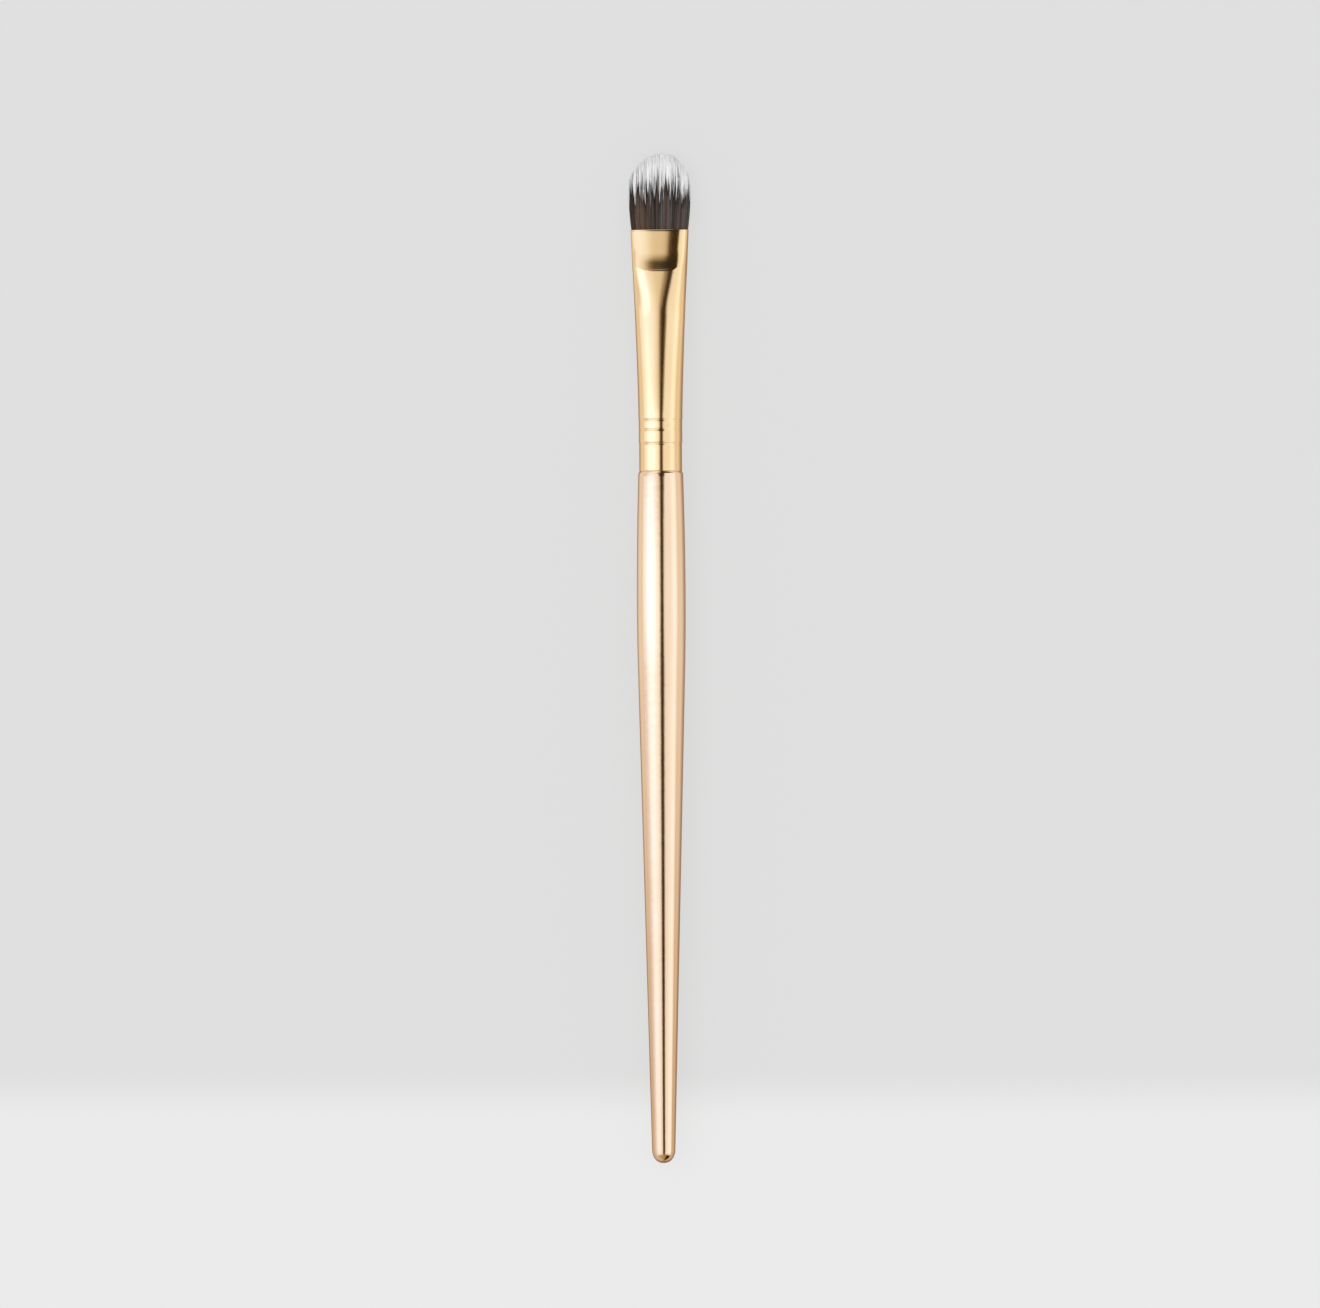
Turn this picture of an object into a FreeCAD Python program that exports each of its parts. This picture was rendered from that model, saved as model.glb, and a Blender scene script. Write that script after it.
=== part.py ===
import FreeCAD
import Part
import math
import os

# A flat concealer brush, lying on a table with the flat of its head level and its bristles towards +Y.
#
# It has four pieces. The handle is turned in one piece with the tenon that carries the ferrule. The ferrule is
# a drawn tube: round where it is crimped on the tenon, and squeezed to a flat oval at its mouth. The tuft is a
# bundle of filaments, cut to a round-topped filbert, and its roots are potted in a plug of epoxy resin.
#
# Each piece is first drawn along the brush's own axis. Station 0 is the joint of handle and ferrule, and
# stations grow towards the bristles. X is across the flat of the head, and Z is through its thickness.
# The last step tips and lifts them all together onto the table. Sizes are millimetres.

# Ferrule: a thin tube with a round barrel and a flattened mouth
ferrule_length = 40.7
ferrule_wall = 0.35
barrel_radius = 3.70
mouth_half_width = 4.88
mouth_half_thickness = 2.00
mouth_squareness = 2.5
flare_start = 9.6
flare_growth = 1.30

# The jaws that flatten the mouth leave a crease where they end
crease_from_mouth = 6.2
crease_length = 2.6
mouth_lip = 0.10

# Skirt: the crimped end of the ferrule, turned in a little where it meets the handle
skirt_radius = 3.59
band_radius = 3.65
skirt_edge = 0.12
crimp_low = 4.70
crimp_middle = 7.00
crimp_high = 8.65
crimp_width = 0.40
crimp_depth = 0.15

# Handle: a shoulder, a long belly curve, a straight taper and a rounded tail
handle_length = 116.3
shoulder_radius = 3.77
shoulder_round = 0.40
belly_radius = 4.10
belly_from_joint = 22.0
belly_sweep = 470.0
tail_radius = 1.96
tail_round_length = 2.3
tail_fullness = 0.60

# Tenon: the handle's spigot inside the ferrule, glued and gripped by the crimps, and short of the resin
tenon_lead = 0.5
glue_film = 0.04
tenon_gap = 6.7

# Resin plug: it fills the tube under the tuft and wicks up round the roots
root_depth = 14.0
potted_depth = 3.0
resin_skin = 0.30
resin_floor = 2.0

# Tuft: the filaments that stand out of the mouth, as wide and thick as these stations give
tuft_length = 13.0
tuft_belly_height = 5.5
tuft_belly_half_width = 5.25
tuft_belly_half_thickness = 1.85
tuft_tip_half_thickness = 0.55
crown_height = 6.2
crown_offset = 0.6
lock_count = 13
lock_relief = 0.13
lock_notch = 0.30
lock_unevenness = 0.22
tip_thinning = 1.5

# What each piece weighs for its size, in kg per cubic metre, which decides where the brush balances
density = {
    "handle": 600,
    "ferrule": 8500,
    "glue_plug": 1100,
    "bristle_tuft": 300,
}

# Numbers that set how the shapes are drawn, not how big they are
ROUND_POWER = 2.0
OVAL_POINT_COUNT = 24
FLARE_BAND_COUNT = 8
CREASE_BAND_COUNT = 5
PAD_BAND_COUNT = 2
TUFT_BAND_COUNT = 6
LOCK_WAVE_FACTOR = 2.4
SEAM = 1e-3
MARGIN = 5.0

mouth_station = ferrule_length
crease_station = ferrule_length - crease_from_mouth
root_station = ferrule_length - root_depth
potted_station = root_station + potted_depth
plug_station = root_station - resin_floor
tenon_station = plug_station - tenon_gap


def point(x, station, z):
    return FreeCAD.Vector(x, station, z)


def smooth_step(value, start, end):
    """0 before start, 1 after end, and a smooth S between them."""
    share = min(1.0, max(0.0, (value - start) / (end - start)))
    return share * share * (3.0 - 2.0 * share)


def oval_point(half_width, half_thickness, squareness, turn):
    """A point of an oval that is an ellipse at squareness 2, and flatter and squarer above that."""
    across = math.cos(turn)
    through = math.sin(turn)
    power = 2.0 / squareness
    x = half_width * math.copysign(abs(across) ** power, across)
    z = half_thickness * math.copysign(abs(through) ** power, through)
    return x, z


def tube_size(station):
    """Half width, half thickness and squareness of the ferrule's outside above its round skirt.

    The tube keeps its girth as it is flattened, so what it gains in width it loses in thickness.
    The jaws then press the last stretch flatter still.
    """
    share = max(0.0, station - flare_start) / (mouth_station - flare_start)
    half_width = barrel_radius + (mouth_half_width - barrel_radius) * share**flare_growth
    free_thickness = 2.0 * barrel_radius - half_width
    half_crease = crease_length / 2.0
    pressed = smooth_step(station, crease_station - half_crease, crease_station + half_crease)
    half_thickness = free_thickness + (mouth_half_thickness - free_thickness) * pressed
    squareness = ROUND_POWER + (mouth_squareness - ROUND_POWER) * pressed
    return half_width, half_thickness, squareness


def arc(first, middle, last):
    return Part.Arc(first, middle, last).toShape()


def line(first, last):
    return Part.LineSegment(first, last).toShape()


def turned(edges):
    """What the edges sweep out when they are turned about the brush's axis, with the seam along the top."""
    shape = Part.Wire(edges).revolve(point(0, 0, 0), point(0, 1, 0), 360)
    shape.rotate(point(0, 0, 0), point(0, 1, 0), -90)
    return shape


def sewn_solid(faces):
    """One solid from faces that meet edge to edge and close all round."""
    skin = Part.Compound(faces)
    skin.sewShape(SEAM)
    return Part.Solid(skin.Shells[0])


def oval_wire(half_width, half_thickness, squareness, station):
    """The oval as one smooth closed curve, square to the axis. Its seam is on top, as a turned shape's is."""
    points = []
    for number in range(OVAL_POINT_COUNT):
        turn = math.pi / 2.0 + 2.0 * math.pi * number / OVAL_POINT_COUNT
        x, z = oval_point(half_width, half_thickness, squareness, turn)
        points.append(point(x, station, z))
    curve = Part.BSplineCurve()
    curve.interpolate(Points=points, PeriodicFlag=True)
    return Part.Wire([curve.toShape()])


def flare_stations(top):
    """Where the tube has a section above the foot of the flare: few at first, close at the crease."""
    half_crease = crease_length / 2.0
    stations = []
    for number in range(1, FLARE_BAND_COUNT):
        run = crease_station - half_crease - flare_start
        stations.append(flare_start + run * number / FLARE_BAND_COUNT)
    for number in range(CREASE_BAND_COUNT):
        stations.append(crease_station - half_crease + crease_length * number / CREASE_BAND_COUNT)
    for number in range(PAD_BAND_COUNT + 1):
        run = top - crease_station - half_crease
        stations.append(crease_station + half_crease + run * number / PAD_BAND_COUNT)
    return stations


def flare_wires(inset, top):
    """The flattened stretch's sections up to the station top, taken in by inset all round."""
    wires = []
    for station in flare_stations(top):
        half_width, half_thickness, squareness = tube_size(station)
        wires.append(oval_wire(half_width - inset, half_thickness - inset, squareness, station))
    return wires


def skirt_edges(inset):
    """The outline of the tube's round stretch from its open end to the foot of the flare, taken in by inset.

    Each crimp is a narrow groove rolled through the whole wall, so the same outline taken in by the wall
    is the inside of the tube, and taken in by the glue as well it is the tenon.
    """
    half = crimp_width / 2.0
    edges = []
    here = point(skirt_radius - inset, skirt_edge, 0)
    radii = [band_radius, band_radius, barrel_radius]
    for station, next_radius in zip([crimp_low, crimp_middle, crimp_high], radii):
        groove_start = point(here.x, station - half, 0)
        groove_floor = point(min(here.x, next_radius - inset) - crimp_depth, station, 0)
        groove_end = point(next_radius - inset, station + half, 0)
        edges.append(line(here, groove_start))
        edges.append(line(groove_start, groove_floor))
        edges.append(line(groove_floor, groove_end))
        here = groove_end
    edges.append(line(here, point(barrel_radius - inset, flare_start, 0)))
    return edges


def make_ferrule():
    """The tube's wall: its outside, its bore, the eased edge of the skirt and the eased lip of the mouth."""
    outer_corner = point(skirt_radius, skirt_edge, 0)
    outer_foot = point(skirt_radius - skirt_edge, 0, 0)
    inner_corner = point(skirt_radius - ferrule_wall, skirt_edge, 0)
    inner_foot = point(inner_corner.x, 0, 0)
    open_end = [line(inner_corner, inner_foot), line(inner_foot, outer_foot), line(outer_foot, outer_corner)]
    skirt = turned(list(reversed(skirt_edges(ferrule_wall))) + open_end + skirt_edges(0.0))

    rings = sorted([edge for edge in skirt.Edges if edge.BoundBox.YMin > flare_start - SEAM], key=edge_reach)
    outside = flare_wires(0.0, mouth_station - mouth_lip)
    inside = flare_wires(ferrule_wall, mouth_station)
    half_width, half_thickness, squareness = tube_size(mouth_station)
    eased = oval_wire(half_width - mouth_lip, half_thickness - mouth_lip, squareness, mouth_station)
    faces = list(skirt.Faces)
    for wires in ([Part.Wire([rings[-1]])] + outside + [eased], [Part.Wire([rings[0]])] + inside + [eased]):
        faces += Part.makeLoft(wires, False, True).Faces
    return sewn_solid(faces)


def bore_filling(inset, low):
    """What fills the flattened stretch of the tube from a station to the mouth, clear of its wall by inset."""
    filling = Part.makeLoft(flare_wires(ferrule_wall + inset, mouth_station), True, True)
    return filling.common(slab(low, mouth_station + MARGIN)).Solids[0]


def edge_reach(edge):
    """How far a ring's edge reaches from the axis."""
    return edge.BoundBox.XMax


def slab(low, high):
    """A block across the brush between two stations."""
    reach = mouth_half_width + MARGIN
    return Part.makeBox(2.0 * reach, high - low, 2.0 * reach, point(-reach, low, -reach))


def shoulder_sweep():
    """Radius of the arc that rises from the shoulder's corner and is level where it meets the belly."""
    run = belly_from_joint - shoulder_round
    rise = belly_radius - shoulder_radius
    return (run * run + rise * rise) / (2.0 * rise)


def sweep_centre(radius):
    """Centre of an arc of that radius that is level at the belly."""
    return point(belly_radius - radius, -belly_from_joint, 0)


def taper_start(radius, tail):
    """Where the straight line from the tail touches the arc that comes down from the belly."""
    centre = sweep_centre(radius)
    across = tail.x - centre.x
    along = tail.y - centre.y
    distance = math.hypot(across, along)
    bearing = math.atan2(along, across)
    turn = bearing + math.acos(radius / distance)
    return point(centre.x + radius * math.cos(turn), centre.y + radius * math.sin(turn), 0)


def sweep_point(radius, station):
    """The point at a station of the arc of that radius that is level at the belly."""
    run = station + belly_from_joint
    return point(belly_radius - radius + math.sqrt(radius * radius - run * run), station, 0)


def tail_curve(tail, direction):
    """The rounded end of the handle, from the taper to the axis, as one smooth curve."""
    end = point(0, -handle_length, 0)
    leaving = tail + direction * (tail_round_length * tail_fullness)
    arriving = point(tail_radius * tail_fullness, -handle_length, 0)
    curve = Part.BezierCurve()
    curve.setPoles([tail, leaving, arriving, end])
    return curve.toShape()


def tenon_edges():
    """The tenon from the axis at its tip down to the shoulder, with a matching groove at each crimp."""
    inset = ferrule_wall + glue_film
    half_width, half_thickness, squareness = tube_size(tenon_station)
    tip_radius = min(half_width, half_thickness) - inset
    tip = point(0, tenon_station, 0)
    tip_edge = point(tip_radius - tenon_lead, tenon_station, 0)
    lead = point(tip_radius, tenon_station - tenon_lead, 0)
    flare = point(barrel_radius - inset, flare_start, 0)
    foot = point(skirt_radius - inset, 0, 0)
    foot_top = point(foot.x, skirt_edge, 0)
    down = list(reversed(skirt_edges(inset)))
    lead_in = [line(tip, tip_edge), line(tip_edge, lead), line(lead, flare)]
    return lead_in + down + [line(foot_top, foot)]


def make_handle():
    tail = point(tail_radius, tail_round_length - handle_length, 0)
    touch = taper_start(belly_sweep, tail)
    rise_middle = sweep_point(shoulder_sweep(), -(belly_from_joint + shoulder_round) / 2.0)
    fall_middle = sweep_point(belly_sweep, (touch.y - belly_from_joint) / 2.0)
    corner = point(shoulder_radius, -shoulder_round, 0)
    ledge = point(shoulder_radius - shoulder_round, 0, 0)
    bend = shoulder_round * (1.0 - math.sqrt(0.5))
    belly = point(belly_radius, -belly_from_joint, 0)
    tenon = tenon_edges()
    foot = tenon[-1].Vertexes[-1].Point
    body = [
        line(foot, ledge),
        arc(ledge, point(shoulder_radius - bend, -bend, 0), corner),
        arc(corner, rise_middle, belly),
        arc(belly, fall_middle, touch),
        line(touch, tail),
        tail_curve(tail, (tail - touch).normalize()),
    ]
    return Part.Solid(turned(tenon + body))


def tuft_roots():
    """The lowest stretch of the bundle, slimmer than the bore by the resin round it."""
    return bore_filling(resin_skin, root_station).common(slab(0.0, potted_station))


def make_glue_plug():
    return bore_filling(0.0, plug_station).common(slab(0.0, potted_station)).cut(tuft_roots())


def tuft_size(height):
    """Half width and half thickness of the loose bundle at a height above the mouth."""
    neck_half_width = mouth_half_width - ferrule_wall
    neck_half_thickness = mouth_half_thickness - ferrule_wall
    spread = min(1.0, height / tuft_belly_height)
    swell = spread * (2.0 - spread)
    half_width = neck_half_width + (tuft_belly_half_width - neck_half_width) * swell
    half_thickness = neck_half_thickness + (tuft_belly_half_thickness - neck_half_thickness) * swell
    thinned = max(0.0, height - tuft_belly_height) / (tuft_length - tuft_belly_height)
    half_thickness -= (tuft_belly_half_thickness - tuft_tip_half_thickness) * thinned**tip_thinning
    return half_width, half_thickness


def lock_turns():
    """The angles of the valleys between the locks, round the front of the bundle from +X to -X.

    The locks are uneven, as real ones are, by a fixed wave rather than by chance.
    """
    turns = []
    for number in range(lock_count + 1):
        even = math.pi * number / lock_count
        ends = math.sin(even)
        turns.append(even + ends * lock_unevenness * math.sin(LOCK_WAVE_FACTOR * number) * math.pi / lock_count)
    return turns


def lock_wire(height):
    """The bundle's outline at a height: one outward arc for each lock, front and back."""
    half_width, half_thickness = tuft_size(height)
    relief = lock_relief * half_thickness / tuft_belly_half_thickness
    squareness = mouth_squareness
    turns = lock_turns()
    back = []
    for turn in reversed(turns[1:-1]):
        back.append(2.0 * math.pi - turn)
    turns = turns + back
    edges = []
    for first, last in zip(turns, turns[1:] + [2.0 * math.pi]):
        inner_start = oval_point(half_width - relief, half_thickness - relief, squareness, first)
        ridge = oval_point(half_width, half_thickness, squareness, (first + last) / 2.0)
        inner_end = oval_point(half_width - relief, half_thickness - relief, squareness, last)
        corners = []
        for x, z in (inner_start, ridge, inner_end):
            corners.append(point(x, mouth_station + height, z))
        edges.append(arc(*corners))
    return Part.Wire(edges)


def crown_point(turn, inset):
    """A point of the crown's outline seen from above: half an ellipse, leaning to +X."""
    side = tuft_belly_half_width - math.copysign(crown_offset, math.cos(turn))
    x = crown_offset + (side - inset) * math.cos(turn)
    rise = (crown_height - inset) * math.sin(turn)
    return x, mouth_station + tuft_length - crown_height + rise


def crown_blank():
    """A block whose top is the crown's outline, with a pointed arch at the end of each lock."""
    depth = mouth_half_width
    edges = []
    turns = lock_turns()
    for first, last in zip(turns, turns[1:]):
        corners = []
        for turn, inset in ((first, lock_notch), ((first + last) / 2.0, 0.0), (last, lock_notch)):
            x, station = crown_point(turn, inset)
            corners.append(point(x, station, -depth))
        edges.append(arc(*corners))
    start = edges[0].Vertexes[0].Point
    end = edges[-1].Vertexes[-1].Point
    reach = mouth_half_width + MARGIN
    base = mouth_station - MARGIN
    side_high = point(-reach, end.y, -depth)
    side_low = point(-reach, base, -depth)
    other_low = point(reach, base, -depth)
    other_high = point(reach, start.y, -depth)
    edges.append(line(end, side_high))
    edges.append(line(side_high, side_low))
    edges.append(line(side_low, other_low))
    edges.append(line(other_low, other_high))
    edges.append(line(other_high, start))
    return Part.Face(Part.Wire(edges)).extrude(point(0, 0, 2.0 * depth))


def make_tuft():
    """The loose head above the mouth, the packed stretch in the tube, and the roots in the resin."""
    wires = []
    for number in range(TUFT_BAND_COUNT + 1):
        wires.append(lock_wire((tuft_length + lock_notch) * number / TUFT_BAND_COUNT))
    head = Part.makeLoft(wires, True, True).common(crown_blank())
    packed = bore_filling(0.0, potted_station)
    return head.fuse([packed, tuft_roots()])


def make_pieces():
    """The four pieces, drawn along the brush's own axis."""
    return {
        "handle": make_handle(),
        "ferrule": make_ferrule(),
        "glue_plug": make_glue_plug(),
        "bristle_tuft": make_tuft(),
    }


def balance_station(pieces):
    """The station at which the whole brush balances."""
    weight = 0.0
    moment = 0.0
    for name, shape in pieces.items():
        share = shape.Volume * density[name]
        weight += share
        moment += share * shape.CenterOfGravity.y
    return moment / weight


def resting_place(station):
    """How the brush lies when it balances at that station.

    It rocks on the long curve of its belly until the weight is over the contact. It can tip down at the
    head only until the barrel of the ferrule touches as well, where the flare starts.
    """
    radius = shoulder_sweep() if station > -belly_from_joint else belly_sweep
    centre = sweep_centre(radius)
    rocked = math.atan2(station - centre.y, -centre.x)
    rise = barrel_radius - centre.x
    run = flare_start - centre.y
    on_barrel = math.atan2(run, rise) - math.acos(radius / math.hypot(run, rise))
    turn = FreeCAD.Rotation(FreeCAD.Vector(1, 0, 0), -math.degrees(min(rocked, on_barrel)))
    centre_height = turn.multVec(point(0, centre.y, -centre.x)).z
    return FreeCAD.Placement(FreeCAD.Vector(0, 0, radius - centre_height), turn)


def main():
    os.makedirs("parts", exist_ok=True)
    pieces = make_pieces()
    station = balance_station(pieces)
    place = resting_place(station)
    print("balances at station", round(station, 1), "and lies", place.Rotation.toEuler(), "turned")
    lying = []
    for shape in pieces.values():
        shape.Placement = place.multiply(shape.Placement)
        lying.append(shape)
    box = Part.Compound(lying).optimalBoundingBox(False)
    for name, shape in pieces.items():
        shape.translate(FreeCAD.Vector(0, -(box.YMin + box.YMax) / 2.0, 0))
        shape.exportStep(os.path.join("parts", name + ".step"))


main()
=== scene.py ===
# %% [markdown]
# # A flat concealer brush
#
# This lesson dresses a small make-up brush that lies on a pale table. The frame holds its four solids: a
# turned handle, a metal ferrule, a plug of resin and the tuft. The ferrule is the metal tube between handle
# and bristles. Here they get their finish, and the tuft gets its filaments.

# %% Load the frame
import math
import random
from collections import namedtuple

import bpy
from mathutils import Matrix, Vector


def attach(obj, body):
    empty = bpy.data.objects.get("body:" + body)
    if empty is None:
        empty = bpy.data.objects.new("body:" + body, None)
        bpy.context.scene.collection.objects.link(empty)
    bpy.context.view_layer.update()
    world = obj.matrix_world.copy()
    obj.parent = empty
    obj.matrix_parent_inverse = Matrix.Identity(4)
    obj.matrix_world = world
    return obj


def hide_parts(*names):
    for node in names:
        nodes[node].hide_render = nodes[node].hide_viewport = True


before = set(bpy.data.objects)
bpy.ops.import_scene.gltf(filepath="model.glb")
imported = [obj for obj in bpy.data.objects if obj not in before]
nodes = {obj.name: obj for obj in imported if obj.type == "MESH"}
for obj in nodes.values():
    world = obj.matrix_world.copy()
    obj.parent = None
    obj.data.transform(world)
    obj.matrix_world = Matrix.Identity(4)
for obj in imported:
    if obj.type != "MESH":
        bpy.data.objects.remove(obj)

scene = bpy.context.scene
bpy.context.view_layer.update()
random.seed(11)
MM = 0.001
print("nodes:", sorted(nodes))

# %% [markdown]
# ## The brush's own axis
#
# A brush is drawn along its axis, but it lies on the table with its head a little lower than its tail. Its
# axis is read from the handle's solid: one end is the tip of the tail, the other the middle of the flat that
# ends the tenon, the spigot inside the ferrule. A station is a distance along this axis in millimetres. It is
# 0 at the joint of handle and ferrule, and grows towards the bristles. The solid's facets cut its corners by
# some 15 microns, so the axis is lifted by as much, and the smooth pieces made on it stay above the table.

# %% Find the axis
handle_length = 116.3
ferrule_length = 40.7
tuft_length = 13.0
axis_lift = 0.0155
end_reach = 0.1


def ends_of_handle():
    """The tail's tip and the middle of the tenon's end, from the handle's own vertices."""
    points = [vertex.co for vertex in nodes["handle"].data.vertices]
    tail = min(points, key=lambda point: point.y)
    furthest = max(point.y for point in points)
    rim = [point for point in points if point.y > furthest - end_reach * MM]
    low = Vector([min(point[axis] for point in rim) for axis in range(3)])
    high = Vector([max(point[axis] for point in rim) for axis in range(3)])
    return tail.copy(), (low + high) / 2.0


tail_tip, tenon_end = ends_of_handle()
along = (tenon_end - tail_tip).normalized()
across = Vector((1.0, 0.0, 0.0))
upward = across.cross(along)
joint_point = tail_tip + along * handle_length * MM + Vector((0.0, 0.0, axis_lift * MM))
tenon_length = (tenon_end - tail_tip).length / MM - handle_length


def placed(x, station, z):
    """A point given across, along and through the brush in millimetres, as it lies in the frame."""
    return joint_point + (across * x + along * station + upward * z) * MM


print("head down by", round(math.degrees(-math.asin(along.z)), 3), "degrees")
print("tenon:", round(tenon_length, 2), "mm")

# %% [markdown]
# ## Small helpers
#
# A mirror finish shows every flat facet, so the handle and the ferrule are drawn again as fine, smooth skins
# of the same shape as their solids. One helper joins rings of points into a skin. It closes the skin with a
# point at each end, or joins its last ring to its first.

# %% Skins from rings
def smooth_step(value, start, end):
    """0 before start, 1 after end, and a smooth S between."""
    share = min(1.0, max(0.0, (value - start) / (end - start)))
    return share * share * (3.0 - 2.0 * share)


def add_piece(name, points, faces, sharp_angle=40.0):
    """A smooth-shaded object from points in metres and faces."""
    mesh = bpy.data.meshes.new(name)
    mesh.from_pydata(points, [], faces)
    mesh.validate()
    mesh.update()
    mesh.shade_smooth()
    mesh.set_sharp_from_angle(angle=math.radians(sharp_angle))
    piece = bpy.data.objects.new(name, mesh)
    scene.collection.objects.link(piece)
    return piece


def skin_of_rings(name, rings, first_pole=None, last_pole=None):
    """Joins rings that all have as many points. With no poles, the last ring is joined to the first."""
    count = len(rings[0])
    points = [point for ring in rings for point in ring]
    faces = []
    pairs = list(zip(range(len(rings)), range(1, len(rings))))
    if first_pole is None:
        pairs.append((len(rings) - 1, 0))
    for low, high in pairs:
        for number in range(count):
            following = (number + 1) % count
            faces.append((low * count + number, low * count + following,
                          high * count + following, high * count + number))
    if first_pole is not None:
        points.extend([first_pole, last_pole])
        start = len(points) - 2
        last = (len(rings) - 1) * count
        for number in range(count):
            following = (number + 1) % count
            faces.append((start, following, number))
            faces.append((start + 1, last + number, last + following))
    return add_piece(name, points, faces)


print("helpers ready")

# %% [markdown]
# ## Handle
#
# The handle is turned from beech and lacquered in a metallic champagne. Its outline is a short rounded
# shoulder, a long rise to the belly, a longer fall, a straight taper and a rounded tail. The shoulder's round
# is nearly a chamfer, longer than it is deep, as sandpaper leaves it. Arcs and one curve give the radius at
# each station, and the outline is then turned about the axis. The bare tenon inside the ferrule is part of
# it, so the sizes of the ferrule's round stretch come here too.

# %% Handle outline
shoulder_radius = 3.77
shoulder_round = 0.40
shoulder_drop = 0.24
shoulder_fullness = 1.3
belly_radius = 4.10
belly_from_joint = 22.0
belly_sweep = 470.0
tail_radius = 1.96
tail_round_length = 2.3
tail_fullness = 0.60
skirt_radius = 3.59
glue_gap = 0.39
crimp_depth = 0.035
crimp_stations = (4.70, 7.00, 8.65)
crimp_half_width = 0.15
groove_spread = 1.3
barrel_radius = 3.70
band_radius = 3.65
flare_start = 9.6
flare_growth = 1.30
mouth_half_width = 4.88


def sweep_radius(sweep, station):
    """Radius of the handle on an arc that is level at the belly."""
    run = station + belly_from_joint
    return belly_radius - sweep + math.sqrt(sweep * sweep - run * run)


def skirt_outline(station):
    """Radius of the ferrule's round stretch, with a rounded groove at each crimp."""
    radius = skirt_radius
    for crimp, next_radius in zip(crimp_stations, (band_radius, band_radius, barrel_radius)):
        passed = smooth_step(station, crimp - crimp_half_width, crimp + crimp_half_width)
        reach = (station - crimp) / (crimp_half_width * groove_spread)
        radius += (next_radius - radius) * passed - crimp_depth * math.exp(-2.0 * reach * reach)
    return radius


def stations_between(start, end, count):
    """Evenly spaced stations, with the start and without the end."""
    return [start + (end - start) * number / count for number in range(count)]


def oval_point(half_width, half_thickness, squareness, turn):
    """A point of an oval that is an ellipse at squareness 2, and squarer above that."""
    power = 2.0 / squareness
    x = half_width * math.copysign(abs(math.cos(turn))**power, math.cos(turn))
    z = half_thickness * math.copysign(abs(math.sin(turn))**power, math.sin(turn))
    return x, z


def bezier(poles, share):
    """A point of a cubic curve from its four poles."""
    rest = 1.0 - share
    weights = (rest**3, 3.0 * rest * rest * share, 3.0 * rest * share * share, share**3)
    return sum((pole * weight for pole, weight in zip(poles, weights)), Vector((0.0, 0.0)))


shoulder_run = belly_from_joint - shoulder_round
shoulder_rise = belly_radius - shoulder_radius
shoulder_sweep = (shoulder_run**2 + shoulder_rise**2) / (2.0 * shoulder_rise)
tail_start = Vector((tail_radius, tail_round_length - handle_length))
sweep_middle = Vector((belly_radius - belly_sweep, -belly_from_joint))
reach = tail_start - sweep_middle
touch_turn = math.atan2(reach.y, reach.x) + math.acos(belly_sweep / reach.length)
touch = sweep_middle + Vector((math.cos(touch_turn), math.sin(touch_turn))) * belly_sweep
print("belly arc to", round(touch.y, 1), "then a straight taper to", round(tail_start.y, 1))

# %% Handle skin
HANDLE_SIDES = 144
TAIL_STEPS = 28
TAPER_STEPS = 30
SWEEP_STEPS = 40
SHOULDER_STEPS = 12
GROOVE_STEPS = 60
tenon_edge = 0.01
groove_run_start = 0.4
tenon_chamfer = 0.5


def flared_half_width(station):
    """Half the ferrule's width, which grows from the barrel to the mouth."""
    share = max(0.0, station - flare_start) / (ferrule_length - flare_start)
    return barrel_radius + (mouth_half_width - barrel_radius) * share**flare_growth


def tenon_size(station):
    """Half the tube's thickness, which the round tenon has to fit inside."""
    return 2.0 * barrel_radius - flared_half_width(station)


def handle_outline():
    """(radius, station) from the tail to the end of the tenon, without the poles."""
    heading = (tail_start - touch).normalized()
    poles = (tail_start, tail_start + heading * tail_round_length * tail_fullness,
             Vector((tail_radius * tail_fullness, -handle_length)), Vector((0.0, -handle_length)))
    outline = [tuple(bezier(poles, 1.0 - number / TAIL_STEPS)) for number in range(1, TAIL_STEPS)]
    for station in stations_between(tail_start.y, touch.y, TAPER_STEPS):
        share = (station - tail_start.y) / (touch.y - tail_start.y)
        outline.append((tail_start.x + (touch.x - tail_start.x) * share, station))
    for station in stations_between(touch.y, -belly_from_joint, SWEEP_STEPS):
        outline.append((sweep_radius(belly_sweep, station), station))
    for station in stations_between(-belly_from_joint, -shoulder_round, SWEEP_STEPS):
        outline.append((sweep_radius(shoulder_sweep, station), station))
    for number in range(SHOULDER_STEPS + 1):
        turn = math.pi / 2.0 * number / SHOULDER_STEPS
        inward, onward = oval_point(shoulder_drop, shoulder_round, shoulder_fullness, turn)
        outline.append((shoulder_radius - shoulder_drop + inward, onward - shoulder_round))
    foot = skirt_radius - glue_gap
    outline += [(foot - tenon_edge, 0.0), (foot, 2.0 * tenon_edge)]
    for station in stations_between(groove_run_start, flare_start, GROOVE_STEPS):
        outline.append((skirt_outline(station) - glue_gap, station))
    tip = tenon_size(tenon_length) - glue_gap
    outline += [(barrel_radius - glue_gap, flare_start), (tip, tenon_length - tenon_chamfer),
                (tip - tenon_chamfer, tenon_length)]
    return outline


def round_ring(radius, station, sides):
    """A circle of points about the axis, running from +X towards the top."""
    ring = []
    for number in range(sides):
        turn = 2.0 * math.pi * number / sides
        ring.append(placed(radius * math.cos(turn), station, radius * math.sin(turn)))
    return ring


handle_rings = [round_ring(radius, station, HANDLE_SIDES) for radius, station in handle_outline()]
handle_ends = (placed(0, -handle_length, 0), placed(0, tenon_length, 0))
handle = skin_of_rings("handle_turned", handle_rings, *handle_ends)
print("handle:", len(handle.data.polygons), "faces")

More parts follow.
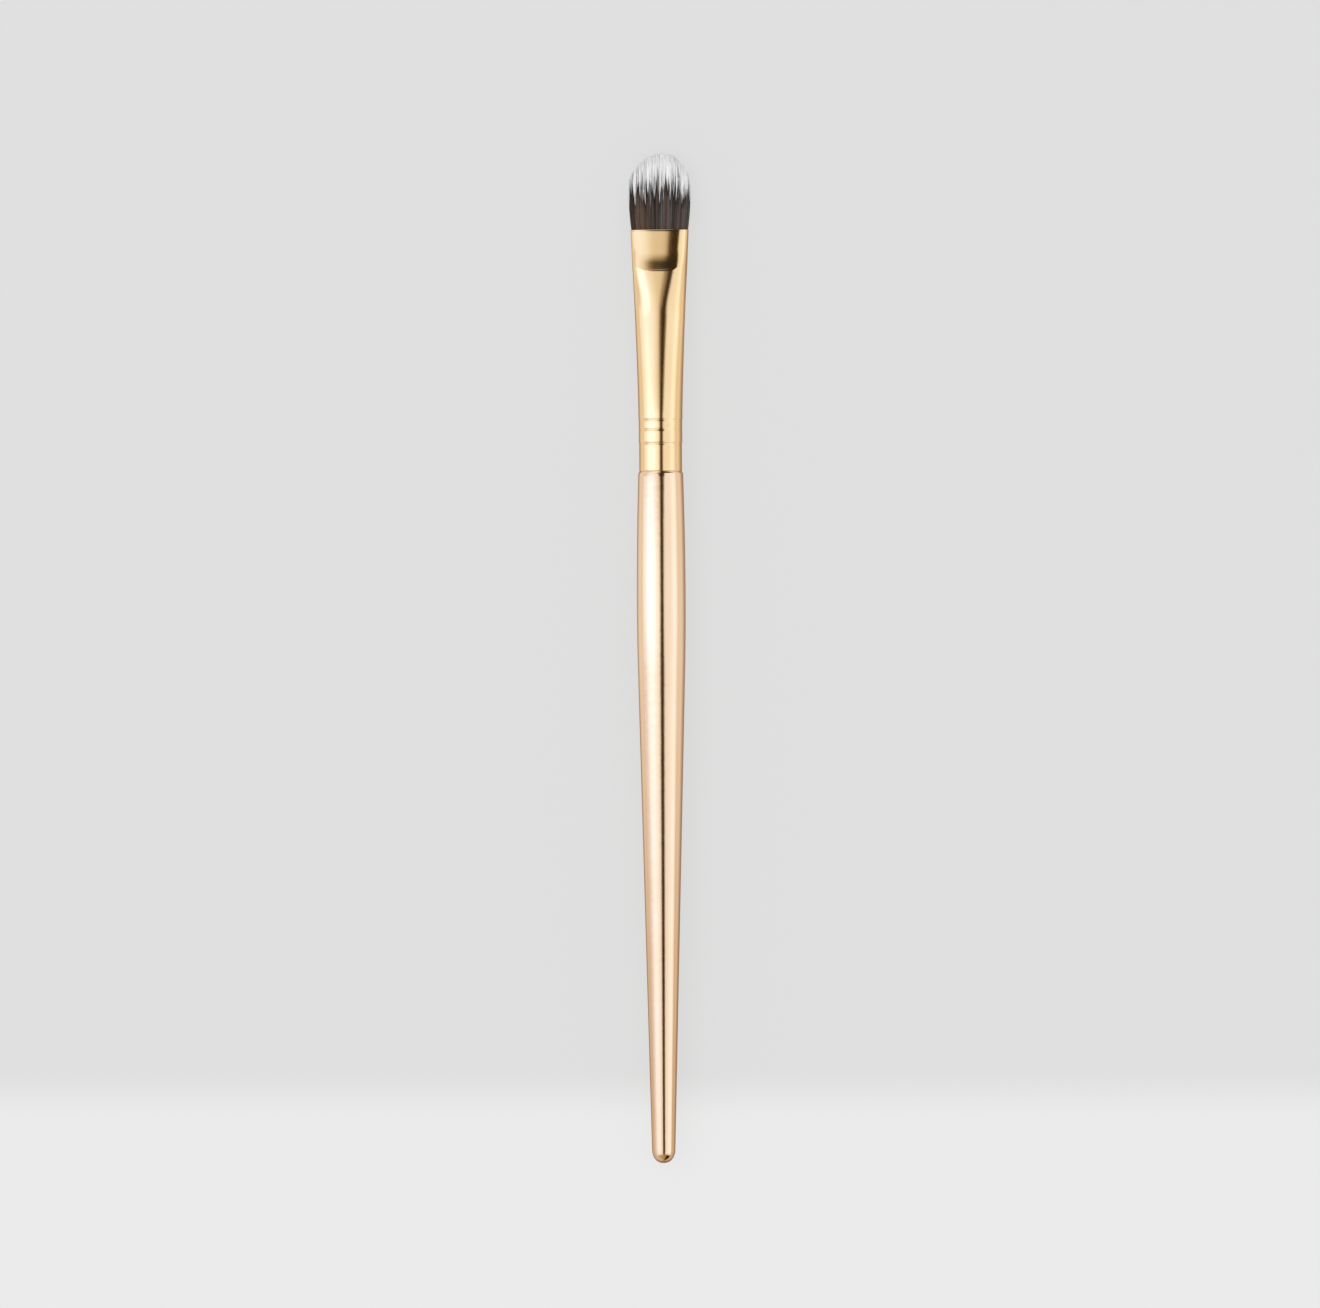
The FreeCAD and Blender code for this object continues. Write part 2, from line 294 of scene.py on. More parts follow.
# %% [markdown]
# ## Ferrule
#
# The ferrule is a drawn brass tube with a gold plating. It is round where three rolled crimps hold it on the
# tenon. Then it flares sideways and thins, and its mouth is pressed flat. That leaves a soft crease across
# it, and a pad above the crease that thins a little more towards the mouth. One rule gives the half width,
# half thickness and squareness at each station.

# %% Ferrule shape
mouth_half_thickness = 2.00
round_squareness = 2.0
mouth_squareness = 3.2
crease_start = 33.6
crease_end = 36.6
pad_taper = 0.07
squaring_start = 26.0
squaring_end = 37.2
crease_bite = 0.12
crease_bend = 1.6
ferrule_wall = 0.35
FERRULE_SIDES = 176
FINE_SHARE = 4


def pressed_share(station):
    """How far the mouth is pressed flat: the press bites suddenly at the crease and lets go gently."""
    share = min(1.0, max(0.0, (station - crease_start) / (crease_end - crease_start)))
    return smooth_step(share, -crease_bite, crease_bite) * (1.0 - (1.0 - share)**2)


def tube_size(station):
    """Half width, free half thickness, pressed half thickness and squareness of the outside."""
    half_width = flared_half_width(station)
    free_thickness = 2.0 * barrel_radius - half_width
    pad_thickness = min(free_thickness, mouth_half_thickness + pad_taper * (ferrule_length - station))
    if station < flare_start:
        half_width = free_thickness = pad_thickness = skirt_outline(station)
    squared = smooth_step(station, squaring_start, squaring_end)
    squareness = round_squareness + (mouth_squareness - round_squareness) * squared
    return half_width, free_thickness, pad_thickness, squareness


def tube_point(inset, station, turn):
    """A point of the tube. The press's edge is curved, so the crease bends to the mouth at the sides."""
    half_width, free_thickness, pad_thickness, squareness = tube_size(station)
    side = math.cos(turn)
    pressed = pressed_share(station - crease_bend * side * side)
    thickness = free_thickness + (pad_thickness - free_thickness) * pressed
    return oval_point(half_width - inset, thickness - inset, squareness, turn)


def oval_ring(inset, station, sides):
    """The tube's outline at a station, taken in by the inset, with its points spaced evenly round it."""
    fine = []
    for number in range(sides * FINE_SHARE):
        turn = 2.0 * math.pi * number / (sides * FINE_SHARE)
        fine.append(tube_point(inset, station, turn))
    lengths = [0.0]
    for first, second in zip(fine, fine[1:] + fine[:1]):
        lengths.append(lengths[-1] + math.dist(first, second))
    ring = []
    here = 0
    for number in range(sides):
        wanted = lengths[-1] * number / sides
        while lengths[here + 1] < wanted:
            here += 1
        share = (wanted - lengths[here]) / (lengths[here + 1] - lengths[here])
        first = fine[here]
        second = fine[(here + 1) % len(fine)]
        x = first[0] + (second[0] - first[0]) * share
        z = first[1] + (second[1] - first[1]) * share
        ring.append(placed(x, station, z))
    return ring


print("mouth:", [round(value, 2) for value in tube_size(ferrule_length)])

# %% Ferrule skin
SKIRT_STEPS = 4
LIP_STEPS = 8
BORE_STEPS = 60
SKIRT_RINGS = 110
FLARE_RINGS = 60
CREASE_RINGS = 40
PAD_RINGS = 14
skirt_round = 0.12
skirt_rings_start = 0.2
crease_rings_start = 33.0
crease_rings_end = 36.0
lip_height = 0.1
bore_end = 0.2


def ferrule_rings():
    """Rings up the outside, over the lip of the mouth, and down the bore."""
    rings = []
    for number in range(SKIRT_STEPS + 1):
        turn = math.pi / 2.0 * number / SKIRT_STEPS
        inset = skirt_round * (1.0 - math.sin(turn))
        rings.append(oval_ring(inset, skirt_round * (1.0 - math.cos(turn)), FERRULE_SIDES))
    skirt = stations_between(skirt_rings_start, flare_start, SKIRT_RINGS)
    flare = stations_between(flare_start, crease_rings_start, FLARE_RINGS)
    crease = stations_between(crease_rings_start, crease_rings_end, CREASE_RINGS)
    pad = stations_between(crease_rings_end, ferrule_length - lip_height, PAD_RINGS)
    for station in skirt + flare + crease + pad:
        rings.append(oval_ring(0.0, station, FERRULE_SIDES))
    lip = ferrule_wall / 2.0
    for number in range(LIP_STEPS + 1):
        turn = math.pi * number / LIP_STEPS
        station = ferrule_length - lip_height + lip_height * math.sin(turn)
        rings.append(oval_ring(lip - lip * math.cos(turn), station, FERRULE_SIDES))
    for station in reversed(stations_between(skirt_rings_start, ferrule_length - bore_end, BORE_STEPS)):
        rings.append(oval_ring(ferrule_wall, station, FERRULE_SIDES))
    return rings


ferrule = skin_of_rings("ferrule_drawn", ferrule_rings())
print("ferrule:", len(ferrule.data.polygons), "faces")

# %% [markdown]
# ## Tuft
#
# The bristles are some thousands of synthetic filaments, dyed dark at the root and pale at the tip. They are
# packed in the mouth of the ferrule, fan out a little, gather in locks, and are cut to a round top. Each
# filament is placed by three points: its root, its bend and its tip. Python works those out, because the
# locks and the round cut are rules about the whole tuft. Geometry Nodes then grows a thin tapered strand on
# every root.
#
# The dyed part ends raggedly. Its height changes from lock to lock, between narrow wisps, and from strand to
# strand, and some strays stay dark for longer. The strands stop a little short of the cut, and those on the
# outside of a lock or at the tuft's two faces a little more, so the crown's edge is soft.

# %% Tuft envelope
belly_height = 5.5
belly_half_width = 5.25
belly_half_thickness = 1.85
tip_half_thickness = 0.55
thinning_power = 1.5
crown_height = 6.2
crown_lean = 0.6
neck_half_width = mouth_half_width - ferrule_wall
neck_half_thickness = mouth_half_thickness - ferrule_wall


def tuft_size(height):
    """Half width and half thickness of the bundle at a height above the mouth."""
    spread = min(1.0, max(0.0, height) / belly_height)
    swell = spread * (2.0 - spread)
    half_width = neck_half_width + (belly_half_width - neck_half_width) * swell
    half_thickness = neck_half_thickness + (belly_half_thickness - neck_half_thickness) * swell
    thinned = max(0.0, height - belly_height) / (tuft_length - belly_height)
    return half_width, half_thickness - (belly_half_thickness - tip_half_thickness) * thinned**thinning_power


def crown_top(x):
    """Height of the round cut above the mouth, for a place across the tuft."""
    side = belly_half_width - math.copysign(crown_lean, x - crown_lean)
    share = min(1.0, abs(x - crown_lean) / side)
    return tuft_length - crown_height + crown_height * math.sqrt(1.0 - share * share)


print("tuft widest:", belly_half_width * 2.0, "mm")

# %% Lock centres and filaments
Lock = namedtuple("Lock", "u v height shade hue")
LOCKS_ACROSS = 14
LOCK_ROWS = 4
LOCK_JITTER = 0.55
ROW_REACH = 0.78
ROW_JITTER = 0.12
BUNDLE_SQUARENESS = 2.5
EDGE_ROW_SHARE = 0.55
THROUGH_WEIGHT = 0.42
LOCK_NARROWNESS = 1.6
FILAMENTS = 6400
MIDDLE_DENSITY = 0.35
ROOT_CLEARANCE = 0.06
ROOT_DEPTH = 2.0
BEND_GATHER = 0.14
BEND_GATHER_THROUGH = 0.07
BEND_SPREAD = 0.25
BEND_HEIGHT_SHARE = 0.55
TIP_GATHER = 0.16
TIP_SWAY = 0.014
TIP_SWAY_THROUGH = 0.05
EDGE_PULL = 0.03
SHORTFALL_SHAPE = 1.6
SHORTFALL_SCALE = 0.20
SHORTFALL_OUTSIDE = 0.15
SHORTFALL_AT_FACES = 0.2
LARGEST_SHORTFALL = 1.9
CROWN_CLEARANCE = 0.02
LEAST_HEIGHT = 2.0
DYED_HEIGHT = 7.4
DYED_LESS_OUTSIDE = 0.9
DYED_BY_LOCK = 0.38
DYED_BY_WISP = 0.35
DYED_BY_STRAND = 1.05
DARK_STRAYS = 0.14
STRAY_EXTRA = (0.6, 2.8)
COOLNESS = 0.42
COOLER_RIGHT = 0.36
COOLER_BY_LOCK = 0.30
# A strand's shade is partly the dye's own tone and partly painted highlight and shade along the locks.
SHADE_BY_LOCK = 0.55
SHADE_BY_COLUMN = 0.45
SHADE_BY_STRAND = 0.20
WISPS = [random.gauss(0.0, 1.0) for number in range(34)]
COLUMNS = [random.uniform(-1.0, 1.0) for number in range(23)]


def lock_centres():
    """Places of the locks in the unit oval of the bundle, each with its own height, shade and hue."""
    centres = []
    for row in range(LOCK_ROWS):
        v = ROW_REACH * (2.0 * row / (LOCK_ROWS - 1) - 1.0)
        reach = math.sqrt(1.0 - abs(v)**BUNDLE_SQUARENESS)
        count = round(LOCKS_ACROSS * (EDGE_ROW_SHARE + (1.0 - EDGE_ROW_SHARE) * reach))
        for number in range(count):
            even = reach * (-1.0 + 2.0 * (number + 0.5) / count)
            u = even + random.uniform(-LOCK_JITTER, LOCK_JITTER) * reach / count
            traits = [random.uniform(-1.0, 1.0) for trait in ("height", "shade", "hue")]
            centres.append(Lock(u, v + random.uniform(-ROW_JITTER, ROW_JITTER), *traits))
    return centres


def nearest_lock(u, v, centres):
    """The lock that a filament belongs to, and how far out in it the filament lies, from 0 to 1."""
    best = min(centres, key=lambda lock: (lock.u - u)**2 + ((lock.v - v) * THROUGH_WEIGHT)**2)
    return best, min(1.0, abs(best.u - u) * LOCKS_ACROSS / 2.0 * LOCK_NARROWNESS)


def trait_at(traits, u):
    """The trait of the narrow stripe of the tuft that u falls in."""
    return traits[int((u + 1.0) / 2.0 * (len(traits) - 1))]


def filament(u, v, centres):
    """Root, bend and tip in frame metres, the height where dark turns pale, the shade and the coolness."""
    lock, outness = nearest_lock(u, v, centres)
    bend_width, bend_thickness = tuft_size(belly_height)
    bend_u = u + (lock.u - u) * BEND_GATHER
    bend_v = v + (lock.v - v) * BEND_GATHER_THROUGH
    tip_u = max(-1.0, min(1.0, u + (lock.u - u) * TIP_GATHER + random.gauss(0.0, TIP_SWAY)))
    tip_v = max(-1.0, min(1.0, v + random.gauss(0.0, TIP_SWAY_THROUGH)))
    tip_x = tip_u * belly_half_width * (1.0 - EDGE_PULL * abs(tip_u)**4)
    shortfall = random.gammavariate(SHORTFALL_SHAPE, SHORTFALL_SCALE)
    shortfall += SHORTFALL_OUTSIDE * outness**2 * random.random() + SHORTFALL_AT_FACES * abs(v)**3
    top = max(LEAST_HEIGHT, crown_top(tip_x) - min(LARGEST_SHORTFALL, shortfall) - CROWN_CLEARANCE)
    root = placed(u * (neck_half_width - ROOT_CLEARANCE), ferrule_length - ROOT_DEPTH,
                  v * (neck_half_thickness - ROOT_CLEARANCE))
    bend = placed(bend_u * (bend_width + BEND_SPREAD),
                  ferrule_length + min(belly_height, top * BEND_HEIGHT_SHARE), bend_v * bend_thickness)
    tip = placed(tip_x, ferrule_length + top, tip_v * tuft_size(top)[1])
    change = DYED_HEIGHT - DYED_LESS_OUTSIDE * outness + DYED_BY_LOCK * lock.height
    change += DYED_BY_WISP * trait_at(WISPS, tip_u) + random.gauss(0.0, DYED_BY_STRAND)
    if random.random() < DARK_STRAYS:
        change += random.uniform(*STRAY_EXTRA)
    cool = COOLNESS + COOLER_RIGHT * u + COOLER_BY_LOCK * lock.hue
    # Shade by lock, by column and by strand: partly the dye's tone, partly painted highlight and shade.
    shade = SHADE_BY_LOCK * lock.shade + SHADE_BY_COLUMN * trait_at(COLUMNS, u)
    shade += random.gauss(0.0, SHADE_BY_STRAND)
    return root, bend, tip, change, shade, cool


def unit_oval_point():
    """A random place in the unit oval, denser near its edge, where the filaments show."""
    while True:
        u = random.uniform(-1.0, 1.0)
        v = random.uniform(-1.0, 1.0)
        rim = abs(u)**3 + abs(v)**3
        if rim < 1.0 and random.random() < MIDDLE_DENSITY + (1.0 - MIDDLE_DENSITY) * rim:
            return u, v


centres = lock_centres()
filaments = [filament(*unit_oval_point(), centres) for number in range(FILAMENTS)]
print("locks:", len(centres), "filaments:", len(filaments))

# %% [markdown]
# ## Finishes
#
# Colours are written as they are read on a screen, and one function turns them into the linear values that
# Blender works in. The other helpers add a node with its settings and links. The scale of a noise pattern is
# how many of its features fit in a metre.

# %% Colour and node helpers
def linear(hex_colour):
    """Linear RGBA from an sRGB colour such as #f0d0b0."""
    values = []
    for start in (1, 3, 5):
        value = int(hex_colour[start:start + 2], 16) / 255.0
        values.append(value / 12.92 if value <= 0.04045 else ((value + 0.055) / 1.055)**2.4)
    return (*values, 1.0)


def set_inputs(tree, node, inputs):
    """Sets inputs of a node. Each is a value, or a socket to link from."""
    for key, value in inputs.items():
        socket = node.inputs[key]
        if isinstance(value, bpy.types.NodeSocket):
            tree.links.new(value, socket)
        else:
            socket.default_value = value


def add_node(tree, kind, inputs=None, **settings):
    """A node of that kind with its settings and inputs."""
    node = tree.nodes.new(kind)
    for name, value in settings.items():
        setattr(node, name, value)
    set_inputs(tree, node, inputs or {})
    return node


def maths(tree, operation, *values):
    """The result of a sum, a product or another operation."""
    return add_node(tree, "ShaderNodeMath", dict(enumerate(values)), operation=operation).outputs["Value"]


def remap(tree, value, start=0.0, end=1.0, low=0.0, high=1.0, steps="LINEAR"):
    """Runs from low to high while the value runs from start to end."""
    inputs = {"Value": value, "From Min": start, "From Max": end, "To Min": low, "To Max": high}
    return add_node(tree, "ShaderNodeMapRange", inputs, interpolation_type=steps).outputs["Result"]


def noise(tree, place, scale, detail):
    """A cloudy pattern of values from 0 to 1."""
    inputs = {"Vector": place, "Scale": scale, "Detail": detail}
    return add_node(tree, "ShaderNodeTexNoise", inputs).outputs["Fac"]


def colour_ramp(tree, factor, stops):
    """The colour at the factor, from (place, colour) pairs."""
    node = add_node(tree, "ShaderNodeValToRGB", {"Fac": factor})
    elements = node.color_ramp.elements
    while len(elements) < len(stops):
        elements.new(0.5)
    for element, (place, colour) in zip(elements, stops):
        element.position = place
        element.color = linear(colour) if isinstance(colour, str) else colour
    return node.outputs["Color"]


def mixed_colour(tree, factor, first, second):
    """The first colour at factor 0 and the second at 1. Each is written out, or a socket."""
    node = add_node(tree, "ShaderNodeMix", {"Factor": factor}, data_type="RGBA")
    inputs = {key: linear(colour) if isinstance(colour, str) else colour
              for key, colour in (("A", first), ("B", second))}
    set_inputs(tree, node, inputs)
    return node.outputs[2]


def mixed_shader(tree, factor, first, second):
    """The first shader at factor 0 and the second at 1."""
    return add_node(tree, "ShaderNodeMixShader", {0: factor, 1: first, 2: second}).outputs["Shader"]


def new_material(name):
    """A material with its shader and output ready."""
    material = bpy.data.materials.new(name)
    material.use_nodes = True
    tree = material.node_tree
    tree.nodes.clear()
    shader = add_node(tree, "ShaderNodeBsdfPrincipled")
    add_node(tree, "ShaderNodeOutputMaterial", {"Surface": shader.outputs["BSDF"]})
    return material, tree, shader


def place_on_piece(tree):
    """The place on the piece in metres."""
    return add_node(tree, "ShaderNodeTexCoord").outputs["Object"]


print("helpers ready")

# %% [markdown]
# ## Metallised lacquer
#
# The handle's colour is a thin metallic coat under clear lacquer. It mirrors the room like polished metal, a
# little softened, and the sprayed lacquer has ripples about a millimetre wide that are only microns deep.

# %% Handle finish
def metallised_lacquer():
    """Sprayed metallic coat under clear lacquer: a mirror, very slightly rippled."""
    material, tree, shader = new_material("metallised_lacquer")
    place = place_on_piece(tree)
    cloud = noise(tree, place, scale=110.0, detail=2.0)
    tint = colour_ramp(tree, cloud, [(0.3, "#fee3c6"), (0.7, "#ffe7cc")])
    rough = remap(tree, cloud, low=0.10, high=0.15)
    ripple = noise(tree, place, scale=700.0, detail=1.0)
    bump = add_node(tree, "ShaderNodeBump", {"Height": ripple, "Strength": 0.04, "Distance": 0.0002})
    set_inputs(tree, shader, {"Base Color": tint, "Metallic": 1.0, "Roughness": rough, "Coat Weight": 0.6,
                              "Coat Roughness": 0.06, "Normal": bump.outputs["Normal"]})
    return material


def bare_beech():
    """The tenon is left unlacquered, so that the glue grips: pale, dull, with grain along the handle."""
    material, tree, shader = new_material("bare_beech")
    place = place_on_piece(tree)
    stretched = add_node(tree, "ShaderNodeMapping", {"Vector": place, "Scale": (1.0, 0.08, 1.0)})
    grain = noise(tree, stretched.outputs["Vector"], scale=2500.0, detail=3.0)
    tint = colour_ramp(tree, grain, [(0.3, "#b98d63"), (0.7, "#d8b48a")])
    set_inputs(tree, shader, {"Base Color": tint, "Roughness": 0.7})
    return material


bare_from = 0.03
bare_within = 3.5
handle.data.materials.append(metallised_lacquer())
handle.data.materials.append(bare_beech())
for polygon in handle.data.polygons:
    station = (polygon.center - joint_point).dot(along) / MM
    radius = ((polygon.center - joint_point) - along * station * MM).length / MM
    polygon.material_index = 1 if station > bare_from and radius < bare_within else 0
print("handle finish on", sum(polygon.material_index == 0 for polygon in handle.data.polygons), "faces")

# %% [markdown]
# ## Gold plating
#
# The ferrule is brass, drawn, polished and plated with a yellow gold. It keeps faint draw lines along the
# tube, about a tenth of a millimetre apart, that soften its reflections a little.

# %% Ferrule finish
def gold_plating():
    """Drawn, polished and plated: a mirror with faint draw lines along the tube."""
    material, tree, shader = new_material("gold_plated_brass")
    place = place_on_piece(tree)
    cloud = noise(tree, place, scale=160.0, detail=2.0)
    tint = colour_ramp(tree, cloud, [(0.3, "#fee2b4"), (0.7, "#ffe6ba")])
    stretched = add_node(tree, "ShaderNodeMapping", {"Vector": place, "Scale": (1.0, 0.02, 1.0)})
    lines = noise(tree, stretched.outputs["Vector"], scale=9000.0, detail=2.0)
    rough = remap(tree, lines, low=0.09, high=0.17)
    bump = add_node(tree, "ShaderNodeBump", {"Height": lines, "Strength": 0.05, "Distance": 0.00005})
    set_inputs(tree, shader, {"Base Color": tint, "Metallic": 1.0, "Roughness": rough,
                              "Normal": bump.outputs["Normal"]})
    return material


ferrule.data.materials.append(gold_plating())
print("ferrule finish ready")

# %% [markdown]
# ## Resin
#
# The roots sit in amber epoxy at the bottom of the tube. Nobody sees it, so its solid stays as it is.

# %% Resin finish
def epoxy_resin():
    """Poured and set in the tube: amber and glossy, a little cloudy."""
    material, tree, shader = new_material("epoxy_resin")
    place = place_on_piece(tree)
    cloud = noise(tree, place, scale=500.0, detail=2.0)
    tint = colour_ramp(tree, cloud, [(0.3, "#9c7236"), (0.7, "#c19a56")])
    set_inputs(tree, shader, {"Base Color": tint, "Roughness": 0.3})
    return material


plug = nodes["glue_plug"]
plug.data.materials.clear()
plug.data.materials.append(epoxy_resin())
print("resin on", plug.name)

# %% [markdown]
# ## Filament finish
#
# The filaments are PBT, a polyester that is dyed at the root and left pale at the tip. The dye is a warm
# brown on some strands and a cool grey on others, and it is darkest just before it ends. The material reads
# three attributes of the strand: its tone from root to tip, its shade, and how cool its dye is. The shade is
# partly the dye's own tone and partly painted highlight and shade along the locks, strongest in the dark
# part.

# %% Filament material
def dyed_filament():
    """Extruded and dip-dyed: dull, dark roots of mixed hue, and nearly white tips."""
    material, tree, shader = new_material("dyed_pbt_filament")
    tone, shade, cool = [add_node(tree, "ShaderNodeAttribute", attribute_name=name).outputs["Fac"]
                         for name in ("tone", "shade", "cool")]
    pale_part = [(0.58, "#b4b2b4"), (0.76, "#efeff0"), (1.0, "#fafafa")]
    warm_dye = colour_ramp(tree, tone, [(0.0, "#594337"), (0.20, "#342721"), (0.40, "#191313")] + pale_part)
    cool_dye = colour_ramp(tree, tone, [(0.0, "#474b4a"), (0.20, "#262829"), (0.40, "#121417")] + pale_part)
    hue = mixed_colour(tree, cool, warm_dye, cool_dye)
    # The shade lifts or darkens the dark part strongly and the pale part a little: dye tone and painted
    # highlight.
    spread = remap(tree, tone, start=0.35, end=0.75, low=0.95, high=0.05)
    lift = maths(tree, "MULTIPLY_ADD", shade, spread, 1.0)
    colour = add_node(tree, "ShaderNodeHueSaturation", {"Color": hue, "Value": lift}).outputs["Color"]
    set_inputs(tree, shader, {"Base Color": colour, "Roughness": 0.45, "Specular IOR Level": 0.2})
    return material


filament_material = dyed_filament()
print("filament material ready")

# %% [markdown]
# ## Growing the strands
#
# The tree puts a straight line of points on every root, then curves it past the bend to the tip. The share
# along a strand gives its place on the curve and its taper, and its height above the mouth gives the tone.
# The strand is a bare three-sided tube, because thousands of them have to stay light.

# %% Strand tree
FILAMENT_RADIUS = 0.065
STRAND_POINTS = 9
STRAND_SIDES = 3
TIP_TAPER = 0.62
TAPER_POWER = 5.0
DYE_FADE = 1.6


def strand_tree():
    """Roots with their attributes go in, and finished strands come out."""
    tree = bpy.data.node_groups.new("grow_strands", "GeometryNodeTree")
    face = tree.interface
    for name, kind in (("Geometry", "Geometry"), ("Filament Radius", "Float"), ("Points", "Int"),
                       ("Mouth Point", "Vector"), ("Axis", "Vector"), ("Material", "Material")):
        face.new_socket(name, in_out="INPUT", socket_type="NodeSocket" + kind)
    face.new_socket("Geometry", in_out="OUTPUT", socket_type="NodeSocketGeometry")
    given = add_node(tree, "NodeGroupInput").outputs

    def named(name, kind):
        node = add_node(tree, "GeometryNodeInputNamedAttribute", {"Name": name}, data_type=kind)
        return node.outputs["Attribute"]

    def vectors(operation, inputs, wanted="Vector"):
        return add_node(tree, "ShaderNodeVectorMath", inputs, operation=operation).outputs[wanted]

    def weighted(name, weight):
        return vectors("SCALE", {0: named(name, "FLOAT_VECTOR"), "Scale": weight})

    line = add_node(tree, "GeometryNodeCurvePrimitiveLine", {"End": (0.0, 0.0, MM)})
    fine = add_node(tree, "GeometryNodeResampleCurve",
                    {"Curve": line.outputs["Curve"], "Count": given["Points"]})
    grown = add_node(tree, "GeometryNodeInstanceOnPoints",
                     {"Points": given["Geometry"], "Instance": fine.outputs["Curve"]})
    real = add_node(tree, "GeometryNodeRealizeInstances", {"Geometry": grown.outputs["Instances"]})
    share = add_node(tree, "GeometryNodeSplineParameter").outputs["Factor"]
    rest = maths(tree, "SUBTRACT", 1.0, share)
    root_part = weighted("root", maths(tree, "MULTIPLY", rest, rest))
    bend_part = weighted("bend", maths(tree, "MULTIPLY", maths(tree, "MULTIPLY", rest, share), 2.0))
    tip_part = weighted("tip", maths(tree, "MULTIPLY", share, share))
    where = vectors("ADD", {0: vectors("ADD", {0: root_part, 1: bend_part}), 1: tip_part})
    bent = add_node(tree, "GeometryNodeSetPosition",
                    {"Geometry": real.outputs["Geometry"], "Position": where})
    from_mouth = vectors("SUBTRACT", {0: where, 1: given["Mouth Point"]})
    height = maths(tree, "DIVIDE", vectors("DOT_PRODUCT", {0: from_mouth, 1: given["Axis"]}, "Value"), MM)
    past = maths(tree, "SUBTRACT", height, named("change", "FLOAT"))
    tone = remap(tree, past, start=-DYE_FADE, end=DYE_FADE)
    toned = add_node(tree, "GeometryNodeStoreNamedAttribute",
                     {"Geometry": bent.outputs["Geometry"], "Name": "tone", "Value": tone},
                     data_type="FLOAT", domain="POINT")
    thinned = maths(tree, "MULTIPLY", maths(tree, "POWER", share, TAPER_POWER), TIP_TAPER)
    taper = maths(tree, "MULTIPLY", maths(tree, "SUBTRACT", 1.0, thinned), given["Filament Radius"])
    profile = add_node(tree, "GeometryNodeCurvePrimitiveCircle", {"Resolution": STRAND_SIDES, "Radius": MM})
    tubes = add_node(tree, "GeometryNodeCurveToMesh",
                     {"Curve": toned.outputs["Geometry"], "Profile Curve": profile.outputs["Curve"],
                      "Scale": taper, "Fill Caps": True})
    solid = add_node(tree, "GeometryNodeRealizeInstances", {"Geometry": tubes.outputs["Mesh"]})
    painted = add_node(tree, "GeometryNodeSetMaterial",
                       {"Geometry": solid.outputs["Geometry"], "Material": given["Material"]})
    add_node(tree, "NodeGroupOutput", {"Geometry": painted.outputs["Geometry"]})
    return tree


tree = strand_tree()
print("strand tree:", len(tree.nodes), "nodes")

# %% Grow the tuft
def roots_mesh(name, group):
    """A cloud of root points that carries what each strand needs."""
    mesh = bpy.data.meshes.new(name)
    mesh.from_pydata([root for root, *others in group], [], [])
    for number, key in enumerate(("root", "bend", "tip")):
        data = mesh.attributes.new(key, "FLOAT_VECTOR", "POINT").data
        data.foreach_set("vector", [value for strand in group for value in strand[number]])
    for number, key in ((3, "change"), (4, "shade"), (5, "cool")):
        data = mesh.attributes.new(key, "FLOAT", "POINT").data
        data.foreach_set("value", [strand[number] for strand in group])
    return mesh


def grow(name, group):
    """Runs the tree on a group of roots and keeps the result as a plain mesh."""
    piece = bpy.data.objects.new(name, roots_mesh(name, group))
    scene.collection.objects.link(piece)
    modifier = piece.modifiers.new("grow", "NODES")
    modifier.node_group = tree
    wanted = {"Filament Radius": FILAMENT_RADIUS, "Points": STRAND_POINTS, "Axis": along,
              "Mouth Point": placed(0, ferrule_length, 0), "Material": filament_material}
    for item in tree.interface.items_tree:
        if item.name in wanted and item.in_out == "INPUT":
            modifier[item.identifier] = wanted[item.name]
    bpy.context.view_layer.update()
    grown = bpy.data.meshes.new_from_object(piece.evaluated_get(bpy.context.evaluated_depsgraph_get()))
    piece.modifiers.clear()
    piece.data = grown
    grown.shade_smooth()
    return piece


half = len(filaments) // 2
tufts = [grow("bristles_a", filaments[:half]), grow("bristles_b", filaments[half:])]
for piece in tufts:
    corners = sum(len(polygon.vertices) - 2 for polygon in piece.data.polygons)
    print(piece.name, corners, "triangles", [attribute.name for attribute in piece.data.attributes])

# %% [markdown]
# ## The bundle's heart
#
# Between the strands one would look through to the table. The middle of the tuft, from its roots in
# the resin to a little above the mouth, is one block slimmer than the strands around it. Its tone is 0 all
# over, the dark of the roots.

# %% Bundle heart
HEART_SIDES = 64
HEART_FOOT_RINGS = 3
HEART_TUBE_RINGS = 20
HEART_BARE_RINGS = 12
heart_foot = 26.7
heart_foot_end = 29.7
heart_full_start = 30.0
heart_foot_clearance = 0.36
heart_clearance = 0.06
heart_top = 4.6
heart_overshoot = 0.1
heart_bare_start = -0.8
heart_join = 1.0
heart_blunting = 0.3
heart_width_share = 0.86
heart_thickness_share = 0.72
heart_squareness = 2.5


def heart_rings():
    """Rings of the block from the roots to a rounded end above the mouth."""
    rings = []
    for station in stations_between(heart_foot, heart_foot_end, HEART_FOOT_RINGS):
        rings.append(oval_ring(ferrule_wall + heart_foot_clearance, station, HEART_SIDES))
    for station in stations_between(heart_full_start, ferrule_length - heart_join, HEART_TUBE_RINGS):
        rings.append(oval_ring(ferrule_wall + heart_clearance, station, HEART_SIDES))
    for height in stations_between(heart_bare_start, heart_top, HEART_BARE_RINGS):
        closing = math.sqrt(1.0 - (max(0.0, height) / (heart_top + heart_overshoot))**2)
        width, thickness = tuft_size(height)
        half_width = heart_width_share * width * closing**heart_blunting
        half_thickness = heart_thickness_share * thickness * closing
        ring = []
        for number in range(HEART_SIDES):
            turn = 2.0 * math.pi * number / HEART_SIDES
            x, z = oval_point(half_width, half_thickness, heart_squareness, turn)
            ring.append(placed(x, ferrule_length + height, z))
        rings.append(ring)
    return rings


